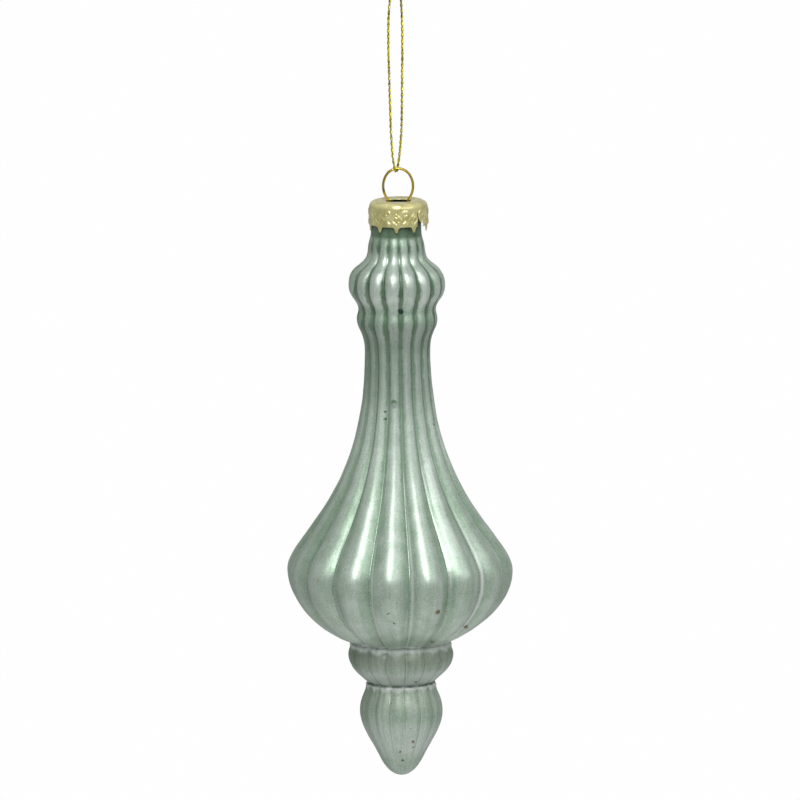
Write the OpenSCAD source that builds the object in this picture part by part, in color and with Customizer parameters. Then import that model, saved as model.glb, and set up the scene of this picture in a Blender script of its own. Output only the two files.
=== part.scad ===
// Blown-glass finial ornament: a fluted glass drop with a stamped metal cap, a sprung wire hanger
// and a tied thread loop. Millimetres, +Z up, +X to the right as the ornament faces you.
// The origin is the hang point, at the top of the thread loop just under its knot.

/* [Flutes and wall] */
// Number of flutes round the glass
flute_n = 16; // [12:1:20]
// Turn of the first groove from the front, towards the right
flute_turn = 5.5; // [0:0.5:22]
// Wall of the blown glass, measured behind a groove
glass_wall = 1; // [0.8:0.05:1.2]

/* [Neck and throat] */
// Outer radius of the plain neck inside the cap
neck_r = 6.25; // [5.2:0.05:7.5]
// Plain neck left bare below the points of the cap
neck_bare = 0.6; // [0.2:0.1:3]
// Gap between the rim of the neck and the rounded edge of the cap
rim_gap = 0.2; // [0.1:0.05:0.6]
// How far the fluted throat stands out from the neck
throat_swell = 0.8; // [0.7:0.05:1.2]
// Height from the bare neck down to the throat
throat_len = 3.9; // [3:0.1:6]
// Depth of the grooves in the throat
throat_flute = 0.45; // [0:0.05:0.7]

/* [Upper bulb and bead] */
// Radius of the upper bulb
bulb_r = 12.05; // [10.4:0.05:14.5]
// Height from the throat down to the widest part of the bulb
bulb_len = 9.4; // [7.5:0.1:12]
// Depth of the grooves in the bulb
bulb_flute = 1; // [0:0.05:1.4]
// Radius of the waist under the bulb
waist_r = 9.6; // [8.2:0.05:10]
// Height from the bulb down to the waist
waist_len = 6.1; // [5:0.1:7.5]
// Depth of the grooves at the waist
waist_flute = 0.55; // [0:0.05:1]
// Radius of the bead under the waist
bead_r = 10.05; // [9.6:0.05:12]
// Height from the waist down to the bead
bead_len = 2.6; // [2.2:0.1:3.5]
// Depth of the grooves in the bead
bead_flute = 0.65; // [0:0.05:1]

/* [Stem and belly] */
// Radius of the slim stem
stem_r = 8.15; // [6.9:0.05:9.8]
// Height from the bead down to the slimmest part of the stem
stem_len = 8; // [6.5:0.1:10]
// Depth of the grooves in the stem
stem_flute = 0.6; // [0:0.05:0.9]
// Radius of the belly
belly_r = 28.1; // [23.4:0.1:33.7]
// Height from the stem down to the widest part of the belly
belly_len = 55; // [46:0.5:66]
// Depth of the grooves in the belly
belly_flute = 1.6; // [0:0.05:2]

/* [Collar and drop] */
// Radius of the undercut below the belly
undercut_r = 12.3; // [10.2:0.05:13]
// Height from the belly down to the undercut
undercut_len = 18; // [15:0.1:23]
// Depth of the grooves at the undercut
undercut_flute = 0.8; // [0:0.05:1]
// Radius of the collar
collar_r = 13.15; // [12.5:0.05:15.8]
// Height from the undercut down to the collar
collar_len = 3.4; // [2.8:0.1:4.5]
// Depth of the grooves in the collar
collar_flute = 0.6; // [0:0.05:1]
// Radius of the notch between the collar and the drop
notch_r = 8.4; // [7:0.05:10]
// Height from the collar down to the notch
notch_len = 6.9; // [5.8:0.1:8.3]
// Depth of the grooves at the notch
notch_flute = 0.4; // [0:0.05:0.6]
// Radius of the drop
drop_r = 10.35; // [9.2:0.05:12.4]
// Height from the notch down to the widest part of the drop
drop_len = 7.2; // [6:0.1:8.6]
// Depth of the grooves in the drop
drop_flute = 0.5; // [0:0.05:0.8]
// Radius where the taper of the drop meets its round tip
taper_r = 5; // [4.2:0.05:6]
// Height from the drop down to the round tip
taper_len = 12.6; // [10.5:0.1:15.2]
// Depth of the grooves at the end of the taper
taper_flute = 0.2; // [0:0.05:0.4]
// Height of the round tip
tip_len = 3.9; // [3.2:0.1:4.7]

/* [Cap] */
// Sheet thickness of the cap
cap_sheet = 0.3; // [0.2:0.05:0.4]
// Height of the cap down to the roots of its points
cap_skirt = 5.8; // [4.8:0.1:7]
// Radius of the rounded edge of the cap
cap_edge = 1.3; // [0.8:0.1:2]
// Radial play between the cap and the neck
cap_play = 0.75; // [0.4:0.05:1]
// Gap on the side where the neck leans in the cap
lean_gap = 0.15; // [0.1:0.05:0.3]
// Number of points round the lower edge
point_n = 10; // [8:1:12]
// Length of a point
point_len = 1.4; // [1:0.1:2]
// Width of a point at its root
point_root = 1.8; // [1.2:0.1:2.2]
// Width of a point at its tip
point_tip = 0.6; // [0.3:0.1:1]
// Turn of the first point from the front
point_turn = -4; // [-18:1:18]
// Radius of a stamped boss where it leaves the skirt
boss_r = 0.7; // [0.5:0.05:0.9]
// Height a boss stands out from the skirt
boss_h = 0.2; // [0.1:0.05:0.25]
// Depth below the top of the cap of the bosses between the points
boss_upper = 2.3; // [2.1:0.1:3]
// Depth below the top of the cap of the bosses over the points
boss_lower = 4.1; // [3.6:0.1:4.6]
// Turn of the split in the skirt from the front
split_turn = 41; // [30:1:50]
// Width of the split
split_w = 0.3; // [0.2:0.05:0.5]
// Depth of the top of the split below the cap
split_top = 1.8; // [1.5:0.1:3]

/* [Wire hanger] */
// Diameter of the wire
wire_d = 0.64; // [0.5:0.02:0.78]
// Half width of the ring along the middle of its wire
ring_r = 3.7; // [3.05:0.05:4.5]
// Height of the top of the ring above its widest part
ring_rise = 4.4; // [3.6:0.05:5.3]
// Angle up the side of the ring where its tighter top begins
ring_shoulder = 30; // [20:1:40]
// Height of the widest part of the ring above the sheet of the cap
ring_stand = 3.8; // [3.1:0.05:4.6]
// Radius of the bend where the wire passes the cap
bend_r = 1; // [0.7:0.05:1.2]
// Length of a straight spring leg
leg_len = 14.5; // [10:0.5:18]
// Gap between the foot of a leg and the bore of the neck
leg_gap = 0.3; // [0.25:0.05:0.5]
// Clearance round the wire at the ends of the slot
slot_end_gap = 0.35; // [0.3:0.05:0.8]
// Clearance on each side of the wire across the slot
slot_side_gap = 0.85; // [0.5:0.05:1]

/* [Thread] */
// Diameter of the metallic thread
thread_d = 0.6; // [0.45:0.05:0.65]
// Gap between the thread and the wire that hangs in it
thread_gap = 0.1; // [0.05:0.01:0.15]
// Height of the underside of the knot above the hang point
knot_z = 0.8; // [0.6:0.1:1.5]
// Radius of the knot
knot_r = 1.15; // [0.9:0.05:1.4]
// Height of the knot
knot_h = 2.2; // [1.8:0.1:2.8]
// Radius of the rounding over the knot
knot_round = 1.4; // [1.2:0.1:2]
// Length of the cut ends above the knot
tail_len = 3.6; // [2:0.2:5]
// Lean of the cut ends
tail_lean = 16; // [8:1:24]

/* [Hidden] */
$fn = 64;

// Route of the thread: from the knot down the left strand, under the ring's wire from the front
// to the back, and up the right strand to the knot. The left strand hangs a little further out.
route = [
    [-0.4, 0, 1.6], [-0.4, 0, -0.4], [-0.9, 0, -3], [-1.5, 0, -7], [-1.9, 0, -11.5],
    [-2, 0, -16], [-2, 0, -21], [-1.9, 0, -26], [-1.8, 0, -31], [-1.7, -0.1, -36],
    [-1.6, -0.2, -40], [-1.42, -0.35, -43.5], [-1.2, -0.5, -46.3], [-0.98, -0.65, -47.8],
    [-0.8, -0.74, -49], [-0.7, -0.55, -49.55], [-0.45, 0, -49.76], [-0.2, 0.55, -49.55],
    [-0.08, 0.74, -49], [0.1, 0.65, -47.8],
    [0.35, 0.5, -46.3], [0.65, 0.35, -43.5], [0.95, 0.2, -40], [1.1, 0.1, -36],
    [1.2, 0, -31], [1.3, 0, -26], [1.4, 0, -21], [1.45, 0, -16], [1.4, 0, -11.5],
    [1.2, 0, -7], [0.8, 0, -3], [0.4, 0, -0.4], [0.4, 0, 1.6]
];
bight_z = min([for (p = route) p.z]);
thread_sides = 8;

// Overrun of a cut past the face it opens
cut = 0.5;
thread_steps = [for (i = [0:len(route) - 2]) abs(route[i].z - route[i + 1].z) < 0.6 ? 3 : 2];

// Heights, from the thread down
ring_top_z = bight_z + (thread_d + wire_d) / 2 + thread_gap;
ring_z = ring_top_z - ring_rise;
bend_z = ring_z - ring_stand;
cap_top_z = bend_z + cap_sheet / 2;

// Arcs of the wire: a tighter top, two flatter sides that tuck in under the ring, and the two bends
side_gain = (ring_rise - ring_r) / (1 + tan(ring_shoulder) - 1 / cos(ring_shoulder));
side_r = ring_r + side_gain;
top_r = side_r - side_gain / cos(ring_shoulder);
ring_tuck = asin(ring_stand / (side_r + bend_r));
bend_x = (side_r + bend_r) * cos(ring_tuck) - side_gain;
pinch_x = bend_x - bend_r;
// The arcs stop this far short of each other, and a ball a hair thicker than the wire joins them
seam_gap = 0.03;
seam_r = wire_d / 2 + 0.005;

// Fit of the cap on the neck, and of the legs in its bore
cap_bore_r = neck_r + cap_play;
cap_r = cap_bore_r + cap_sheet;
cap_len = cap_skirt + point_len;
glass_x = lean_gap - cap_play;
neck_bore_r = neck_r - glass_wall;
throat_r = neck_r + throat_swell;
leg_bore_r = min(neck_bore_r, throat_r - throat_flute - glass_wall);
leg_reach = [for (side = [-1, 1]) leg_bore_r + side * glass_x - wire_d / 2 - leg_gap];
leg_splay = [for (reach = leg_reach) asin((reach - pinch_x) / leg_len)];
slot_len = 2 * (pinch_x + wire_d / 2 + slot_end_gap);
slot_w = wire_d + 2 * slot_side_gap;

// Stages of the glass from the neck down: each has a radius, a depth below the top of the cap and
// a depth of groove
rim_depth = cap_edge + rim_gap;
stage_r = [
    neck_r, throat_r, bulb_r, waist_r, bead_r, stem_r, belly_r,
    undercut_r, collar_r, notch_r, drop_r, taper_r, 0
];
stage_len = [
    throat_len, bulb_len, waist_len, bead_len, stem_len, belly_len,
    undercut_len, collar_len, notch_len, drop_len, taper_len, tip_len
];
stage_flute = [
    0, throat_flute, bulb_flute, waist_flute, bead_flute, stem_flute, belly_flute,
    undercut_flute, collar_flute, notch_flute, drop_flute, taper_flute, 0
];
function depth_at(i) = i == 0 ? cap_len + neck_bare : depth_at(i - 1) + stage_len[i - 1];
stage_depth = [for (i = [0:len(stage_len)]) depth_at(i)];

// Fullness of each curve: how far its two handles reach along the run of the radius and of the depth,
// at the upper end and at the lower end, as shares of the stage
stage_pull = [
    [0, 0.31, 0, 0.4], [0, 0.57, 0, 0.65], [0, 0.52, 0, 0.39], [0, 0.14, 0, 0.44],
    [0, 0.33, 0, 0.7], [0, 0.67, 0, 0.15], [0, 0.45, 0.46, 0.15], [0.84, 0.06, 0, 0.6],
    [0, 0.48, 0.29, 0.24], [0.32, 0.17, 0, 0.41], [0, 0.37, 0.34, 0.32], [0.24, 0.53, 0.47, 0]
];
outer_steps = [2, 5, 4, 2, 4, 8, 6, 3, 4, 3, 4, 3];
inner_steps = [1, 4, 3, 1, 3, 5, 3, 2, 2, 2, 2, 1];
flute_steps = 5;
flute_power = 2;
around_n = flute_n * flute_steps;

function mix(a, b, t) = a + (b - a) * t;
function bezier(a, b, c, d, t) =
    pow(1 - t, 3) * a + 3 * pow(1 - t, 2) * t * b + 3 * (1 - t) * t * t * c + pow(t, 3) * d;

// Radius, depth and groove depth at a share t of stage i
function stage_row(i, t) =
    let (
        a = [stage_r[i], stage_depth[i]],
        d = [stage_r[i + 1], stage_depth[i + 1]],
        run = d - a,
        pull = stage_pull[i],
        b = a + [run.x * pull[0], run.y * pull[1]],
        c = d - [run.x * pull[2], run.y * pull[3]],
        at = bezier(a, b, c, d, t)
    ) [at.x, at.y, mix(stage_flute[i], stage_flute[i + 1], t)];

// Rows of the profile from the rim down, without the point of the tip
function profile_rows(steps) = [
    [neck_r, rim_depth, 0],
    [neck_r, stage_depth[0], 0],
    for (i = [0:len(steps) - 1])
        for (k = [1:steps[i]])
            if (i < len(steps) - 1 || k < steps[i]) stage_row(i, k / steps[i])
];

// A ring of points; grooved rings dip by the depth of the groove where two flutes meet
function glass_ring(radius, depth, groove) = [
    for (j = [0:around_n - 1])
        let (
            turn = flute_turn + 360 / around_n * j,
            share = (j % flute_steps) / flute_steps,
            r = radius - groove * pow(abs(2 * share - 1), flute_power)
        ) [r * sin(turn), -r * cos(turn), -depth]
];

// Triangles between two rings of points, the first ring above or outside the second
function band(first, second, n) = [
    for (j = [0:n - 1])
        let (k = (j + 1) % n)
            each [[first + j, first + k, second + k], [first + j, second + k, second + j]]
];
function fan(ring, tip, n) = [for (j = [0:n - 1]) [ring + j, ring + (j + 1) % n, tip]];
function turned(faces) = [for (f = faces) [f[0], f[2], f[1]]];

module glass_body() {
    outer = profile_rows(outer_steps);
    inner = [for (row = profile_rows(inner_steps)) [row[0] - row[2] - glass_wall, row[1]]];
    tip_depth = stage_depth[len(stage_len)];
    inner_start = len(outer) * around_n;
    tips = inner_start + len(inner) * around_n;
    points = [
        for (row = outer) each glass_ring(row[0], row[1], row[2]),
        for (row = inner) each glass_ring(row[0], row[1], 0),
        [0, 0, -tip_depth],
        [0, 0, glass_wall - tip_depth]
    ];
    faces = [
        for (i = [0:len(outer) - 2]) each band(i * around_n, (i + 1) * around_n, around_n),
        each fan((len(outer) - 1) * around_n, tips, around_n),
        each turned(band(0, inner_start, around_n)),
        for (i = [0:len(inner) - 2])
            each turned(band(inner_start + i * around_n, inner_start + (i + 1) * around_n, around_n)),
        each turned(fan(tips - around_n, tips + 1, around_n))
    ];
    color("#a9bcae")
        translate([glass_x, 0, cap_top_z])
            polyhedron(points, faces, convexity = 10);
}

// Half outline of a cup that hangs down from z = 0, with a rounded upper edge
module cup_outline(r, len, edge) {
    translate([0, -len]) square([r, len - edge]);
    translate([0, -len]) square([r - edge, len]);
    translate([r - edge, -edge]) circle(edge);
}

// A flat outline pushed out from the axis, at a turn from the front
module pushed_out(turn) {
    rotate([0, 0, turn])
        rotate([90, 0, 0])
            linear_extrude(cap_r + cut) children();
}

// The balls that stamp the bosses, two rows round the skirt; a thinner ball leaves the sheet its thickness
module boss_balls(thinner) {
    ball_r = (boss_r * boss_r + boss_h * boss_h) / (2 * boss_h);
    for (k = [0:point_n - 1], row = [[0, boss_lower], [0.5, boss_upper]])
        rotate([0, 0, point_turn + 360 / point_n * (k + row[0])])
            translate([0, ball_r - cap_r - boss_h, -row[1]])
                sphere(ball_r - thinner);
}

module cap() {
    pitch = 2 * cap_r * sin(180 / point_n);
    notch_top = (pitch - point_root) / 2;
    notch_flare = (point_root - point_tip) / 2 / point_len;
    notch_foot = notch_top + notch_flare * (point_len + cut);
    color("#cfc690")
        translate([0, 0, cap_top_z])
            difference() {
                union() {
                    rotate_extrude() intersection() {
                        cup_outline(cap_r, cap_len, cap_edge);
                        translate([0, -cap_len]) square([cap_r, cap_len]);
                    }
                    boss_balls(0);
                }
                rotate_extrude() translate([0, -cap_sheet])
                    intersection() {
                        cup_outline(cap_bore_r, cap_len, cap_edge - cap_sheet);
                        translate([0, -cap_len]) square([cap_bore_r, cap_len]);
                    }
                boss_balls(cap_sheet);
                translate([0, 0, -cap_sheet - cut]) linear_extrude(cap_sheet + 2 * cut) {
                    square([slot_len - slot_w, slot_w], center = true);
                    for (side = [-1, 1])
                        translate([side * (slot_len - slot_w) / 2, 0]) circle(d = slot_w);
                }
                for (k = [0:point_n - 1])
                    pushed_out(point_turn + 360 / point_n * (k + 0.5))
                        polygon([
                            [-notch_top, -cap_skirt], [notch_top, -cap_skirt],
                            [notch_foot, -cap_len - cut], [-notch_foot, -cap_len - cut]
                        ]);
                pushed_out(split_turn)
                    translate([-split_w / 2, -cap_len - cut])
                        square([split_w, cap_len + cut - split_top]);
            }
}

// Part of a wire ring in the plane of the hanger, between two angles from the right-hand side up
module wire_arc(radius, from, to) {
    trim = seam_gap / radius * 180 / PI;
    rotate([90, 0, 0])
        rotate_extrude(angle = to - from - 2 * trim, start = from + trim)
            translate([radius, 0]) circle(d = wire_d);
}

// A point on an arc of the wire
module on_arc(radius, turn) {
    translate([radius * cos(turn), 0, radius * sin(turn)]) children();
}

// One half of the wire on the right-hand side: the side of the ring, the bend and the spring leg
module wire_half(splay) {
    translate([-side_gain, 0, ring_z]) {
        wire_arc(side_r, -ring_tuck, ring_shoulder);
        on_arc(side_r, ring_shoulder) sphere(seam_r);
        on_arc(side_r, -ring_tuck) sphere(seam_r);
    }
    translate([bend_x, 0, bend_z]) {
        wire_arc(bend_r, 180 - ring_tuck, 180 + splay);
        on_arc(bend_r, 180 + splay) {
            sphere(seam_r);
            rotate([0, 180 - splay, 0])
                translate([0, 0, seam_gap]) cylinder(d = wire_d, h = leg_len - seam_gap);
        }
    }
}

module hanger_wire() {
    color("#b99a3c") {
        translate([0, 0, ring_top_z - top_r]) wire_arc(top_r, ring_shoulder, 180 - ring_shoulder);
        mirror([1, 0, 0]) wire_half(leg_splay[0]);
        wire_half(leg_splay[1]);
    }
}

// A smooth curve through the points of a route
function route_at(pts, i, t) =
    let (
        last = len(pts) - 1,
        a = pts[max(i - 1, 0)],
        b = pts[i],
        c = pts[i + 1],
        d = pts[min(i + 2, last)],
        leave = i == 0 ? c - b : (c - a) / 2,
        arrive = i + 1 == last ? c - b : (d - b) / 2
    ) bezier(b, b + leave / 3, c - arrive / 3, c, t);
function sampled(pts, steps) = [
    for (i = [0:len(pts) - 2]) for (k = [0:steps[i] - 1]) route_at(pts, i, k / steps[i]),
    pts[len(pts) - 1]
];
function unit(v) = v / norm(v);

// A ring of points square to the route at sample i
function tube_ring(path, i, r, sides) =
    let (
        ahead = unit(path[min(i + 1, len(path) - 1)] - path[max(i - 1, 0)]),
        across = unit(cross(ahead, [1, 0, 0])),
        other = cross(ahead, across)
    ) [
        for (j = [0:sides - 1])
            let (turn = 360 / sides * j) path[i] + r * (cos(turn) * across + sin(turn) * other)
    ];

module thread_loop() {
    path = sampled(route, thread_steps);
    rings = len(path);
    points = [for (i = [0:rings - 1]) each tube_ring(path, i, thread_d / 2, thread_sides)];
    start_cap = [for (j = [1:thread_sides - 2]) [0, j, j + 1]];
    last = (rings - 1) * thread_sides;
    end_cap = [for (j = [1:thread_sides - 2]) [last, last + j + 1, last + j]];
    walls = [
        for (i = [0:rings - 2])
            each turned(band(i * thread_sides, (i + 1) * thread_sides, thread_sides))
    ];
    color("#a8973a") polyhedron(points, concat(start_cap, walls, end_cap), convexity = 8);
}

module thread_knot() {
    color("#a8973a") translate([0, 0, knot_z]) {
        rotate_extrude() intersection() {
            translate([0, knot_h / 2]) circle(knot_round);
            square([knot_r, knot_h]);
        }
        for (side = [-1, 1])
            translate([side * thread_d / 2, 0, knot_h - thread_d])
                rotate([0, side * tail_lean, 0])
                    cylinder(d = thread_d, h = tail_len + thread_d);
    }
}

glass_body();
cap();
hanger_wire();
thread_loop();
thread_knot();
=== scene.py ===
import math

import bmesh
import bpy
from mathutils import Matrix, Vector


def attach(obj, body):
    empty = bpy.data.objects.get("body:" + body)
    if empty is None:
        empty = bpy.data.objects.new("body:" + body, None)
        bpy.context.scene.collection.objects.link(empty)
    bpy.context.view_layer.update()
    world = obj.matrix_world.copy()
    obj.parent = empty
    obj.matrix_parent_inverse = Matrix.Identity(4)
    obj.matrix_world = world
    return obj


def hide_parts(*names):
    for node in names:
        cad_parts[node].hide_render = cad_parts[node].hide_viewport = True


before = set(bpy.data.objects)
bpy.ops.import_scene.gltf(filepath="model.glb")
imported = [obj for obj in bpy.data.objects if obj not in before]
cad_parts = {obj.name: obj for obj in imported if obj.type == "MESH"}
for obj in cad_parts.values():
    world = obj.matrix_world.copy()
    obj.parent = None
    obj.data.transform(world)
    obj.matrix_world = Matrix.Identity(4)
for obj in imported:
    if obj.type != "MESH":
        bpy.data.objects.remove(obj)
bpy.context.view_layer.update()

# Camera: a long lens, far in front of the ornament and a little above it. It looks down by nine degrees
# and leans by half a degree, as the picture does.
camera_stand = (-0.0001, -2.56939, 0.29066)
camera_tilt = math.radians(90 - 8.8)
camera_lean = math.radians(-0.625)
lens_length, sensor_width = 470.34, 36
bpy.ops.object.camera_add(location=camera_stand)
camera = bpy.context.object
camera.name = "camera"
camera_aim = Matrix.Rotation(camera_tilt, 3, "X") @ Matrix.Rotation(camera_lean, 3, "Z")
camera.rotation_euler = camera_aim.to_euler()
camera.data.lens = lens_length
camera.data.sensor_width = sensor_width
bpy.context.scene.camera = camera
bpy.context.scene.view_settings.view_transform = "Standard"

# Hanging thread: one length of metallic thread, two plies of gold film twisted round a near-black core, which
# is partly a real core and partly painted shade in the gaps between the plies. It goes down from the knot,
# under the wire of the ring from the front to the back, and up to the knot.
mm = 0.001
thread_route = [
    (-0.4, 0, 1.6), (-0.4, 0, -0.4), (-0.9, 0, -3), (-1.5, 0, -7), (-1.9, 0, -11.5), (-2, 0, -16),
    (-2, 0, -21), (-1.9, 0, -26), (-1.8, 0, -31), (-1.7, -0.1, -36), (-1.6, -0.2, -40),
    (-1.42, -0.35, -43.5), (-1.2, -0.5, -46.3), (-0.98, -0.65, -47.8), (-0.8, -0.74, -49),
    (-0.7, -0.55, -49.55), (-0.45, 0, -49.76), (-0.2, 0.55, -49.55), (-0.08, 0.74, -49),
    (0.1, 0.65, -47.8), (0.35, 0.5, -46.3), (0.65, 0.35, -43.5), (0.95, 0.2, -40), (1.1, 0.1, -36),
    (1.2, 0, -31), (1.3, 0, -26), (1.4, 0, -21), (1.45, 0, -16), (1.4, 0, -11.5), (1.2, 0, -7),
    (0.8, 0, -3), (0.4, 0, -0.4), (0.4, 0, 1.6),
]
ply_radius, ply_lay, core_radius = 0.19 * mm, 0.14 * mm, 0.13 * mm
core_reach = core_radius * 1.01
ply_sides, core_sides = 10, 6
twist_pitch, twist_steps = 3 * mm, 18
film_shade, film_glint = (0.2, 0.16, 0.014), (0.8, 0.69, 0.06)
core_shade, core_light = (0.012, 0.010, 0.003), (0.06, 0.05, 0.012)


def route_curve(name, route):
    """A smooth curve through points given in millimetres."""
    bpy.ops.object.select_all(action="DESELECT")
    bpy.ops.curve.primitive_bezier_curve_add()
    curve = bpy.context.object
    curve.name = name
    spline = curve.data.splines[0]
    spline.bezier_points.add(len(route) - len(spline.bezier_points))
    for point, place in zip(spline.bezier_points, route):
        point.co = Vector(place) * mm
        point.handle_left_type = point.handle_right_type = "AUTO"
    curve.data.twist_mode = "MINIMUM"
    curve.data.resolution_u = 16
    return curve


def add_modifier(piece, kind, **settings):
    """Puts a modifier on a piece and sets it up."""
    bpy.ops.object.modifier_add(type=kind)
    for key, value in settings.items():
        setattr(piece.modifiers[-1], key, value)


def apply_modifiers(piece):
    """Applies a piece's modifiers from first to last."""
    for modifier in list(piece.modifiers):
        bpy.ops.object.modifier_apply(modifier=modifier.name)


def twisted_thread(name, route, film, core):
    """Thread laid along a route: the plies and the core are screwed straight up, then bent to the curve."""
    curve = route_curve(name + "_line", route)
    length = curve.data.splines[0].calc_length()
    turns = round(length / twist_pitch)
    bpy.ops.object.select_all(action="DESELECT")
    bpy.ops.mesh.primitive_circle_add(vertices=core_sides, radius=core_radius)
    thread = bpy.context.object
    thread.name = thread.data.name = name
    bpy.ops.object.mode_set(mode="EDIT")
    for side in (-1, 1):
        ply_middle = (side * ply_lay, 0, 0)
        bpy.ops.mesh.primitive_circle_add(vertices=ply_sides, radius=ply_radius, location=ply_middle)
    bpy.ops.object.mode_set(mode="OBJECT")
    add_modifier(thread, "SCREW", angle=math.tau, screw_offset=length / turns, iterations=turns,
                 steps=twist_steps, render_steps=twist_steps, use_smooth_shade=True)
    apply_modifiers(thread)
    thread.data.materials.append(film)
    thread.data.materials.append(core)
    for face in thread.data.polygons:
        corners = [thread.data.vertices[v].co for v in face.vertices]
        face.material_index = int(all(co.xy.length < core_reach for co in corners))
    bpy.ops.object.mode_set(mode="EDIT")
    bpy.ops.mesh.select_all(action="SELECT")
    bpy.ops.mesh.normals_make_consistent(inside=False)
    bpy.ops.object.mode_set(mode="OBJECT")
    add_modifier(thread, "CURVE", object=curve, deform_axis="POS_Z")
    apply_modifiers(thread)
    bpy.data.objects.remove(curve)
    return thread, length


def add_node(tree, kind, inputs=None, **settings):
    """Adds a shader node, sets it up, and fills or links its inputs."""
    node = tree.nodes.new(kind)
    for key, value in settings.items():
        setattr(node, key, value)
    for key, value in (inputs or {}).items():
        if isinstance(value, bpy.types.NodeSocket):
            tree.links.new(value, node.inputs[key])
        else:
            node.inputs[key].default_value = value
    return node


def new_finish(name, **sockets):
    """A material with its Principled shader's constant sockets set."""
    finish = bpy.data.materials.new(name)
    finish.use_nodes = True
    shader = finish.node_tree.nodes["Principled BSDF"]
    for key, value in sockets.items():
        shader.inputs[key.replace("_", " ").title()].default_value = value
    return finish, finish.node_tree, shader


def on_surface(tree):
    """Where each point of the piece lies, from its Object coordinates."""
    return add_node(tree, "ShaderNodeTexCoord").outputs["Object"]


def speckle(tree, surface, scale, detail=2.0, roughness=0.5):
    """A cloudy value over the surface, about as many clouds to a metre as its scale."""
    clouds = {"Vector": surface, "Scale": scale, "Detail": detail, "Roughness": roughness}
    return add_node(tree, "ShaderNodeTexNoise", clouds).outputs["Fac"]


def two_colours(tree, value, low, high):
    """Runs from one colour to another, each given with the value it stands at."""
    ramp = add_node(tree, "ShaderNodeValToRGB", {"Fac": value})
    for element, (position, colour) in zip(ramp.color_ramp.elements, (low, high)):
        element.position = position
        element.color = (*colour, 1)
    return ramp.outputs["Color"]


gold_film, tree, shader = new_finish("gold_film", metallic=1.0, roughness=0.32)
flecks = speckle(tree, on_surface(tree), 1500)
film_colour = two_colours(tree, flecks, (0.36, film_shade), (0.55, film_glint))
tree.links.new(film_colour, shader.inputs["Base Color"])

# Near-black core: partly the thread's real core, partly painted shade in the gaps between the plies
dark_core_and_shade, tree, shader = new_finish("dark_core_and_shade", roughness=0.8)
fibres = speckle(tree, on_surface(tree), 4000)
core_colour = two_colours(tree, fibres, (0, core_shade), (1, core_light))
tree.links.new(core_colour, shader.inputs["Base Color"])

thread_loop, thread_length = twisted_thread("thread_loop_twist", thread_route, gold_film, dark_core_and_shade)
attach(thread_loop, "thread")
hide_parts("thread_loop")

# Knot: the two ends of the thread, wound round each other and drawn tight, with the cut ends standing
# up out of it. Each strand is laid along the same route, half a turn from the other.
strand_route = [
    (-0.4, 0, 1.0), (-0.55, -0.2, 1.25), (-0.35, -0.6, 1.45), (0.2, -0.68, 1.6), (0.64, -0.2, 1.75),
    (0.55, 0.38, 1.9), (0.0, 0.68, 2.05), (-0.55, 0.4, 2.2), (-0.64, -0.2, 2.35), (-0.2, -0.5, 2.6),
    (0.15, -0.25, 2.9), (0.3, -0.05, 3.3), (0.55, 0, 4.2), (0.95, 0.05, 5.3), (1.3, 0.1, 6.3),
]
strands = []
for name, strand_turn in (("strand_left", 0), ("strand_right", math.pi)):
    route = [Matrix.Rotation(strand_turn, 3, "Z") @ Vector(place) for place in strand_route]
    strands.append(twisted_thread(name, route, gold_film, dark_core_and_shade)[0])
bpy.ops.object.select_all(action="DESELECT")
for strand in strands:
    strand.select_set(True)
thread_knot = strands[0]
bpy.context.view_layer.objects.active = thread_knot
bpy.ops.object.join()
thread_knot.name = thread_knot.data.name = "thread_knot_tied"
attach(thread_knot, "thread")
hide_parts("thread_knot")

# Hanger wire: gold-coloured spring wire, bent round formers to an oval ring, then in at the slot of the
# cap and out again to two straight legs that press in the bore of the neck.
wire_radius, wire_sides = 0.32 * mm, 14
ring_top, ring_half, ring_rise, ring_stand = -49.04 * mm, 3.7 * mm, 4.4 * mm, 3.8 * mm
shoulder = math.radians(30)
bend_radius = 1 * mm
bend_rows, side_rows, top_rows = 14, 18, 28
leg_length = 14.5 * mm
leg_feet = {-1: 5.23 * mm, 1: 4.03 * mm}
wire_shade, wire_glint = (0.33, 0.225, 0.02), (0.76, 0.56, 0.08)
side_gain = (ring_rise - ring_half) / (1 + math.tan(shoulder) - 1 / math.cos(shoulder))
side_radius = ring_half + side_gain
top_radius = side_radius - side_gain / math.cos(shoulder)
tuck = math.asin(ring_stand / (side_radius + bend_radius))
ring_mid = ring_top - ring_rise
bend_x = (side_radius + bend_radius) * math.cos(tuck) - side_gain
pinch = bend_x - bend_radius
splay = {side: math.asin((reach - pinch) / leg_length) for side, reach in leg_feet.items()}


def bend_wire(centre, angle, rows):
    """Bends the open end of the wire round a centre in the plane of the ring."""
    bpy.ops.mesh.spin(steps=rows, angle=-angle, center=centre, axis=(0, 1, 0))


def weld(gap):
    """Merges the doubled points of the piece in edit mode and points its faces outwards."""
    bpy.ops.mesh.select_all(action="SELECT")
    bpy.ops.mesh.remove_doubles(threshold=gap)
    bpy.ops.mesh.normals_make_consistent(inside=False)


def spread(tree, value, span, reach, smooth=False):
    """Takes a value from one span to another, held at both ends."""
    ends = {"From Min": span[0], "From Max": span[1], "To Min": reach[0], "To Max": reach[1]}
    kind = "SMOOTHSTEP" if smooth else "LINEAR"
    node = add_node(tree, "ShaderNodeMapRange", {"Value": value, **ends}, interpolation_type=kind)
    return node.outputs["Result"]


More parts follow.
